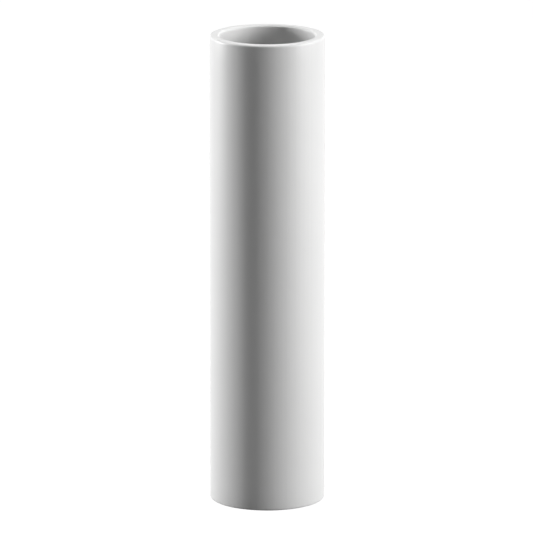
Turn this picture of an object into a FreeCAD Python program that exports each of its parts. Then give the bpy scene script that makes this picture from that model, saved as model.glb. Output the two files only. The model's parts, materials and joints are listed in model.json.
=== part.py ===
import FreeCAD, Part
import os

# A cut length of rigid PVC conduit, standing on one end.
#
# The real thing is extruded in one piece: unplasticised PVC is drawn through a ring die, so the wall is
# the same all round and from end to end.  The stock is then sawn square to its axis, and each end is
# trimmed by hand: the outside edge is rounded over so that the end slides into a socket, and the inside
# edge is reamed to a small bevel so that it doesn't scrape the cables that are pulled through.
#
# The origin is the centre of the bottom end, and +Z runs up the bore to the other end.  Sizes are in mm.

# The extruded section.  1-1/4 inch trade size, schedule 40.
outside_diameter = 42.16
wall = 3.56

# The sawn length.
length = 173.5

# The hand trimming of each end.
outside_edge_radius = 0.70
bore_edge_bevel = 0.50

outside_radius = outside_diameter / 2
bore_radius = outside_radius - wall


def extruded_stock():
    """The plain tube as it leaves the saw: the outside cylinder less the bore."""
    outside = Part.makeCylinder(outside_radius, length)
    bore = Part.makeCylinder(bore_radius, length)
    return outside.cut(bore)


# Two radii nearer to each other than this are the same edge of the tube.
same_radius = 0.000001

def end_edges(tube, radius):
    """The two round edges of the given radius, one at each sawn end."""
    found = []
    for edge in tube.Edges:
        if isinstance(edge.Curve, Part.Circle) and abs(edge.Curve.Radius - radius) < same_radius:
            found.append(edge)
    return found


def trimmed(tube):
    """The tube with its outside edges rounded over and its bore edges reamed."""
    rounded = tube.makeFillet(outside_edge_radius, end_edges(tube, outside_radius))
    return rounded.makeChamfer(bore_edge_bevel, end_edges(rounded, bore_radius))


os.makedirs("parts", exist_ok=True)
trimmed(extruded_stock()).exportStep("parts/conduit_tube.step")
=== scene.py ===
import bpy
import json
import math
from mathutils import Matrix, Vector


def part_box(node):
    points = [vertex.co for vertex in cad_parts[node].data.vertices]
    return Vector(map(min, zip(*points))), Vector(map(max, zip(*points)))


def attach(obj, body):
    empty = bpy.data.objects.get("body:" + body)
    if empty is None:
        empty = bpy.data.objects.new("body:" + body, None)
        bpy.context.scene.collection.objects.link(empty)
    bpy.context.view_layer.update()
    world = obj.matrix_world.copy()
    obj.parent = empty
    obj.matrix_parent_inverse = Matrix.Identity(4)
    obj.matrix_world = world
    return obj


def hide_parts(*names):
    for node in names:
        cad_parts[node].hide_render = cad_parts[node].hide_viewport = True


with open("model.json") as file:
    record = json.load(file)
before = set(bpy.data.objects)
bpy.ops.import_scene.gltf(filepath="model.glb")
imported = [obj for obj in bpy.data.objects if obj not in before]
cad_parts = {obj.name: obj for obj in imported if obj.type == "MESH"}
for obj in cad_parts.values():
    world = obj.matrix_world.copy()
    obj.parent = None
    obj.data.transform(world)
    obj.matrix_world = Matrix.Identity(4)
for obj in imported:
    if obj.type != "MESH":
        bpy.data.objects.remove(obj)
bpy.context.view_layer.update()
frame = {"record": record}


# ------------------------------------------------------------------------------------------------------
# The conduit: one length of rigid, unplasticised PVC, extruded through a ring die, so its wall is the
# same all round.  It is sawn square to length, and both ends are trimmed by hand: the outside edge is
# rounded over for the socket, and the mouth of the bore is reamed to a small bevel for the cables.

class Wire:
    """A value on its way through a node tree.  Sums and products of wires add the Math nodes they need."""

    def __init__(self, tree, socket=None):
        self.tree = tree
        self.socket = socket

    def node(self, kind, settings=None, inputs=None, output=0):
        """Adds a node of any kind: first its settings, then the values or the wires of its sockets."""
        made = self.tree.nodes.new(kind)
        for name, value in (settings or {}).items():
            setattr(made, name, value)
        for name, value in (inputs or {}).items():
            if isinstance(value, Wire):
                self.tree.links.new(value.socket, made.inputs[name])
            else:
                made.inputs[name].default_value = value
        return Wire(self.tree, made.outputs[output] if len(made.outputs) else None)

    def output(self, name):
        """Another output of the node that this wire comes out of."""
        return Wire(self.tree, self.socket.node.outputs[name])

    def math(self, operation, first, *others):
        """One Math node, with its values in order."""
        return self.node("ShaderNodeMath", {"operation": operation}, dict(enumerate((first, *others))))

    def vector(self, operation, *others, output="Vector"):
        """One Vector Math node, with this wire as its first value."""
        return self.node("ShaderNodeVectorMath", {"operation": operation}, dict(enumerate((self, *others))),
                         output)

    def scaled(self, factor):
        """A vector made longer or shorter."""
        return self.node("ShaderNodeVectorMath", {"operation": "SCALE"}, {"Vector": self, "Scale": factor})

    def __add__(self, other):
        return self.math("ADD", self, other)

    def __radd__(self, other):
        return self.math("ADD", other, self)

    def __sub__(self, other):
        return self.math("SUBTRACT", self, other)

    def __rsub__(self, other):
        return self.math("SUBTRACT", other, self)

    def __mul__(self, other):
        return self.math("MULTIPLY", self, other)

    def __rmul__(self, other):
        return self.math("MULTIPLY", other, self)

    def __truediv__(self, other):
        return self.math("DIVIDE", self, other)

    def __rtruediv__(self, other):
        return self.math("DIVIDE", other, self)

    def __mod__(self, other):
        return self.math("MODULO", self, other)

    def __rmod__(self, other):
        return self.math("MODULO", other, self)

    def __gt__(self, other):
        return self.math("GREATER_THAN", self, other)


low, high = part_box("conduit_tube")
outside_radius = high.x
length = high.z - low.z
mounts = {mount["name"]: mount["dims"] for mount in frame["record"]["mounts"]}
bore_radius = mounts["bore"]["r_mm"] / 1000
edge_round = (length - mounts["outside_wall"]["length_mm"] / 1000) / 2
bore_bevel = (length - mounts["bore"]["length_mm"] / 1000) / 2

# The tube follows a rule: the outline of its wall, an upright rectangle with two rounded and two bevelled
# corners, is swept once round the bore.
sweep = bpy.data.node_groups.new("conduit wall swept round its bore", "GeometryNodeTree")
sizes = {}
for name, kind in (("Outside Radius", "Float"), ("Bore Radius", "Float"), ("Length", "Float"),
                   ("Edge Round", "Float"), ("Bore Bevel", "Float"), ("Hand Wander", "Float"),
                   ("Steps Round", "Int"), ("Steps Along", "Int"), ("Seed", "Int")):
    socket = sweep.interface.new_socket(name=name, in_out="INPUT", socket_type="NodeSocket" + kind)
    sizes[name] = socket.identifier
sweep.interface.new_socket(name="Conduit", in_out="OUTPUT", socket_type="NodeSocketGeometry")
given = Wire(sweep).node("NodeGroupInput")
size = given.output

# The rectangle stands on the middle of the wall.  Each of its points remembers the sharp corner that it is
# cut from, and only the two outside corners are divided into an arc.
steps_in_round = 8
outline = given.node("GeometryNodeCurvePrimitiveQuadrilateral", {"mode": "RECTANGLE"},
                     {"Width": size("Outside Radius") - size("Bore Radius"), "Height": size("Length")})
point = given.node("GeometryNodeInputPosition")
outline = given.node("GeometryNodeStoreNamedAttribute", {"data_type": "FLOAT_VECTOR", "domain": "POINT"},
                     {"Geometry": outline, "Name": "corner", "Value": point})
on_outside = given.node("ShaderNodeSeparateXYZ", {}, {"Vector": point}, "X") > 0.0
outline = given.node("GeometryNodeFilletCurve", {"mode": "POLY"}, {
    "Curve": outline,
    "Radius": on_outside * size("Edge Round") + (1 - on_outside) * size("Bore Bevel"),
    "Count": 1 + on_outside * (steps_in_round - 1),
    "Limit Radius": False})

# The straight sides of the outline run from one sharp corner to the next.  They are divided too, and the
# arcs and bevels between them stay as they are.
same_corner = 0.00001
corner = given.node("GeometryNodeInputNamedAttribute", {"data_type": "FLOAT_VECTOR"}, {"Name": "corner"})
index = given.node("GeometryNodeInputIndex")
count = given.node("GeometryNodeAttributeDomainSize", {"component": "CURVE"}, {"Geometry": outline},
                   "Point Count")
next_corner = given.node("GeometryNodeFieldAtIndex", {"data_type": "FLOAT_VECTOR", "domain": "POINT"},
                         {"Value": corner, "Index": (index + 1) % count})
straight = corner.vector("DISTANCE", next_corner, output="Value") > same_corner
outline = given.node("GeometryNodeSubdivideCurve", {}, {
    "Curve": outline,
    "Cuts": straight * size("Steps Along")})

# How far each point of the outline lies from its sharp corner, for the hand trimming.
outline = given.node("GeometryNodeStoreNamedAttribute", {"data_type": "FLOAT_VECTOR", "domain": "POINT"},
                     {"Geometry": outline, "Name": "off corner", "Value": point.vector("SUBTRACT", corner)})

middle_of_wall = given.node("GeometryNodeCurvePrimitiveCircle", {"mode": "RADIUS"}, {
    "Resolution": size("Steps Round"),
    "Radius": (size("Outside Radius") + size("Bore Radius")) / 2})
tube = given.node("GeometryNodeCurveToMesh", {}, {
    "Curve": given.node("GeometryNodeSetCurveNormal", {"mode": "Z_UP"}, {"Curve": middle_of_wall}),
    "Profile Curve": outline,
    "Fill Caps": False})

# A hand tool never takes off quite the same all round, so both trims wander a little in width.  The wander
# comes and goes about eighty times a metre.
waves_of_hand = 80.0
off_corner = given.node("GeometryNodeInputNamedAttribute", {"data_type": "FLOAT_VECTOR"},
                        {"Name": "off corner"})
off = given.node("ShaderNodeSeparateXYZ", {}, {"Vector": off_corner})
wander = given.node("ShaderNodeTexNoise", {"noise_dimensions": "4D"}, {
    "Vector": point, "W": size("Seed"), "Scale": waves_of_hand, "Detail": 1.0})
grow = (wander - 0.5) * 2 * size("Hand Wander")
outward = point.vector("MULTIPLY", (1.0, 1.0, 0.0)).vector("NORMALIZE").scaled(off.output("X") * grow)
upward = given.node("ShaderNodeCombineXYZ", {}, {"Z": off.output("Y") * grow * -1})
tube = given.node("GeometryNodeSetPosition", {}, {
    "Geometry": tube,
    "Offset": outward.vector("ADD", upward)})
tube = given.node("GeometryNodeTransform", {}, {
    "Geometry": tube,
    "Translation": given.node("ShaderNodeCombineXYZ", {}, {"Z": size("Length") / 2})})

# The skin is smooth, and only the edges of the bevels are crisp.
crisp = math.radians(30)
tube = given.node("GeometryNodeSetShadeSmooth", {"domain": "FACE"}, {"Geometry": tube, "Shade Smooth": True})
tube = given.node("GeometryNodeSetShadeSmooth", {"domain": "EDGE"}, {
    "Geometry": tube,
    "Selection": given.node("GeometryNodeInputMeshEdgeAngle") > crisp,
    "Shade Smooth": False})
for name in ("corner", "off corner"):
    tube = given.node("GeometryNodeRemoveAttribute", {}, {"Geometry": tube, "Name": name})


# The PVC: off-white, opaque and satin.  The die leaves faint lines along both walls, the saw leaves fine
# marks across the ends, and the trimmed edges are duller where the tool has scraped them.  The grain is
# counted in waves a metre.
def grain(place, scale, detail):
    """Even, shapeless grain."""
    return place.node("ShaderNodeTexNoise", {}, {"Vector": place, "Scale": scale, "Detail": detail})


def drawn_grain(place, along, across, detail=2.0, roughness=0.5):
    """Grain drawn out lengthwise, with fewer waves along the tube than across it."""
    return place.node("ShaderNodeTexNoise", {}, {
        "Vector": place.vector("MULTIPLY", (across, across, along)),
        "Scale": 1.0, "Detail": detail, "Roughness": roughness})


def smooth_step(value, start, stop, before=0.0, after=1.0):
    """Goes gently from one level to another between two values."""
    return value.node("ShaderNodeMapRange", {"interpolation_type": "SMOOTHSTEP"}, {
        "Value": value, "From Min": start, "From Max": stop, "To Min": before, "To Max": after})


off_white = (0.83, 0.83, 0.827, 1.0)
black = (0.0, 0.0, 0.0, 1.0)
satin = 0.38
pvc_refraction = 1.53
mark_depth = 0.00002
saw_turn = math.radians(28)

pvc = bpy.data.materials.new("extruded off-white pvc")
pvc.use_nodes = True
pvc.node_tree.nodes.clear()
place = Wire(pvc.node_tree).node("ShaderNodeTexCoord", output="Object")

# Where the skin is sawn, at the very ends, and where it is trimmed, over the rounded edge.
height = place.node("ShaderNodeSeparateXYZ", {}, {"Vector": place}, "Z")
from_end = height.math("MINIMUM", height, length - height)
sawn = smooth_step(from_end, 0.00001, 0.00006, 1.0, 0.0)
trimmed = smooth_step(from_end, edge_round * 0.8, edge_round * 1.1, 1.0, 0.0) * (1 - sawn)

# What the die and the cooling bath leave on the walls, and a few rubs from carrying.
die_lines = drawn_grain(place, 2.0, 900.0, 3.0, 0.6)
die_waves = drawn_grain(place, 1.5, 140.0)
peel = grain(place, 700.0, 2.0)
clouds = grain(place, 45.0, 3.0)
rubs = smooth_step(drawn_grain(place, 60.0, 1500.0, 2.0, 0.7), 0.64, 0.72) * smooth_step(clouds, 0.45, 0.6)

# What the saw leaves on the ends: straight strokes, and the torn grain between them.
saw_marks = place.node("ShaderNodeTexWave", {"bands_direction": "X"}, {
    "Vector": place.node("ShaderNodeVectorRotate", {"rotation_type": "Z_AXIS"},
                         {"Vector": place, "Angle": saw_turn}),
    "Scale": 330.0, "Distortion": 1.6, "Detail": 3.0, "Detail Scale": 2.0, "Detail Roughness": 0.6})
torn = grain(place, 2600.0, 3.0)

wall_relief = die_lines * 1.1 + die_waves * 2.2 + peel * 0.16 - rubs * 0.25
saw_relief = saw_marks * 1.1 + torn * 0.7
relief = wall_relief * (1 - sawn) * (1 - trimmed) + sawn * saw_relief + trimmed * torn * 0.5
bump = place.node("ShaderNodeBump", {}, {"Height": relief, "Distance": mark_depth, "Strength": 1.0})

# Fresh-sawn PVC is a little paler and duller than the drawn skin.
paleness = 0.97 + (clouds - 0.5) * 0.03 + (die_lines - 0.5) * 0.02
paleness = paleness + sawn * ((saw_marks - 0.5) * 0.04 + 0.04)
colour = place.node("ShaderNodeMix", {"data_type": "RGBA"},
                    {"Factor": paleness, "A": black, "B": off_white}, "Result")
dullness = satin + (die_lines - 0.5) * 0.08 + (clouds - 0.5) * 0.08 + rubs * 0.10
dullness = dullness + sawn * 0.12 + trimmed * 0.06

skin = place.node("ShaderNodeBsdfPrincipled", {}, {
    "Base Color": colour, "Roughness": dullness, "IOR": pvc_refraction, "Normal": bump})
skin.node("ShaderNodeOutputMaterial", {}, {"Surface": skin})

tube = given.node("GeometryNodeRealizeInstances", {}, {"Geometry": tube})
tube = given.node("GeometryNodeSetMaterial", {}, {"Geometry": tube, "Material": pvc})
tube.node("NodeGroupOutput", {}, {"Conduit": tube})

# A blank is put through the sweep, and what comes out is kept as a plain mesh.  The hand wander is a share
# of each trim's width.
blank = bpy.data.objects.new("blank", bpy.data.meshes.new("blank"))
bpy.context.scene.collection.objects.link(blank)
extrude = blank.modifiers.new("extrude", "NODES")
extrude.node_group = sweep
for name, value in (("Outside Radius", outside_radius), ("Bore Radius", bore_radius), ("Length", length),
                    ("Edge Round", edge_round), ("Bore Bevel", bore_bevel), ("Hand Wander", 0.06),
                    ("Steps Round", 360), ("Steps Along", 24), ("Seed", 4)):
    extrude[sizes[name]] = value
conduit = bpy.data.objects.new("conduit", bpy.data.meshes.new_from_object(
    blank.evaluated_get(bpy.context.evaluated_depsgraph_get())))
conduit.data.name = "conduit"
bpy.context.scene.collection.objects.link(conduit)
blank.modifiers.remove(extrude)
bpy.data.objects.remove(blank)

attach(conduit, "root")
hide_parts("conduit_tube")


# ------------------------------------------------------------------------------------------------------
# The studio floor and its surround: a plain, pale paper sheet that the conduit stands on, and the same
# white all round it.  Both are seen as white, and the floor keeps the soft shadow at the conduit's foot.
def seen(wire):
    """1 for what the camera, a gloss or a clear material sees, and 0 for the light that they throw."""
    path = wire.node("ShaderNodeLightPath", {}, {}, "Is Camera Ray")
    gloss = path.output("Is Glossy Ray")
    clear = path.output("Is Transmission Ray")
    return path.math("MAXIMUM", path.math("MAXIMUM", path, gloss), clear)


full_white = (1.0, 1.0, 1.0, 1.0)
paper_seen = 0.9
paper_bounce = 0.2
paper_glow = 1.18
share_of_glow = 0.8
reach = 3.0

sheet = bpy.data.meshes.new("floor")
sheet.from_pydata([(-reach, -reach, low.z), (reach, -reach, low.z), (reach, reach, low.z),
                   (-reach, reach, low.z)], [], [(0, 1, 2, 3)])
floor = bpy.data.objects.new("floor", sheet)
bpy.context.scene.collection.objects.link(floor)

paper = bpy.data.materials.new("pale studio paper")
paper.use_nodes = True
paper.node_tree.nodes.clear()
shown = seen(Wire(paper.node_tree))
matt = shown.node("ShaderNodeBsdfDiffuse", {},
                  {"Color": paper_bounce + shown * (paper_seen - paper_bounce)})
glow = shown.node("ShaderNodeEmission", {}, {"Color": full_white, "Strength": paper_glow})
both = shown.node("ShaderNodeMixShader", {}, {"Fac": shown * share_of_glow, 1: matt, 2: glow})
both.node("ShaderNodeOutputMaterial", {}, {"Surface": both})
sheet.materials.append(paper)

surround = bpy.data.worlds.new("white surround")
surround.use_nodes = True
surround.node_tree.nodes.clear()
sky = Wire(surround.node_tree)
sky = sky.node("ShaderNodeBackground", {}, {"Color": full_white, "Strength": seen(sky)})
sky.node("ShaderNodeOutputWorld", {}, {"Surface": sky})
bpy.context.scene.world = surround


# ------------------------------------------------------------------------------------------------------
# The lamps: a softbox on each side of the conduit, and a third almost overhead.  The front stays unlit,
# so a dark band runs down the near side between the two lit flanks.
def softbox(name, turn, rise, wide, tall, brightness):
    """A softbox a metre from the conduit: turned round it from the front, raised, and aimed at it."""
    middle = Vector((0, 0, length / 2))
    away = Vector((math.sin(turn) * math.cos(rise), -math.cos(turn) * math.cos(rise), math.sin(rise)))
    lamp = bpy.data.lights.new(name, "AREA")
    lamp.shape = "RECTANGLE"
    lamp.size = wide
    lamp.size_y = tall
    lamp.energy = brightness * math.pi * wide * tall
    box = bpy.data.objects.new(name, lamp)
    bpy.context.scene.collection.objects.link(box)
    box.location = middle + away
    box.rotation_mode = "QUATERNION"
    box.rotation_quaternion = (-away).to_track_quat("-Z", "Y")
    box.visible_camera = False


softbox("left softbox", math.radians(-105), math.radians(12), 0.25, 0.36, 35.5)
softbox("right softbox", math.radians(77), math.radians(15), 0.55, 0.36, 15.9)
softbox("high softbox", math.radians(180), math.radians(82), 0.60, 0.60, 5.1)


# ------------------------------------------------------------------------------------------------------
# The camera: a long lens on a full frame, well back from the conduit and a little above it.  It looks
# slightly down, so that the end and the bore show, and its place is counted in the conduit's radii.
frame_width = 36.0
lens_length = 481.7
tilt = math.radians(13.154)
aside, back, up = -0.00026, 120.6 * outside_radius, 32.31 * outside_radius

eye = bpy.data.cameras.new("camera")
eye.sensor_width = frame_width
eye.lens = lens_length
eye.clip_start = 0.05
eye.clip_end = 50.0
camera = bpy.data.objects.new("camera", eye)
bpy.context.scene.collection.objects.link(camera)
camera.location = (aside, -back, up)
camera.rotation_mode = "QUATERNION"
camera.rotation_quaternion = Vector((0, math.cos(tilt), -math.sin(tilt))).to_track_quat("-Z", "Y")
bpy.context.scene.camera = camera

bpy.context.scene.view_settings.view_transform = "Standard"
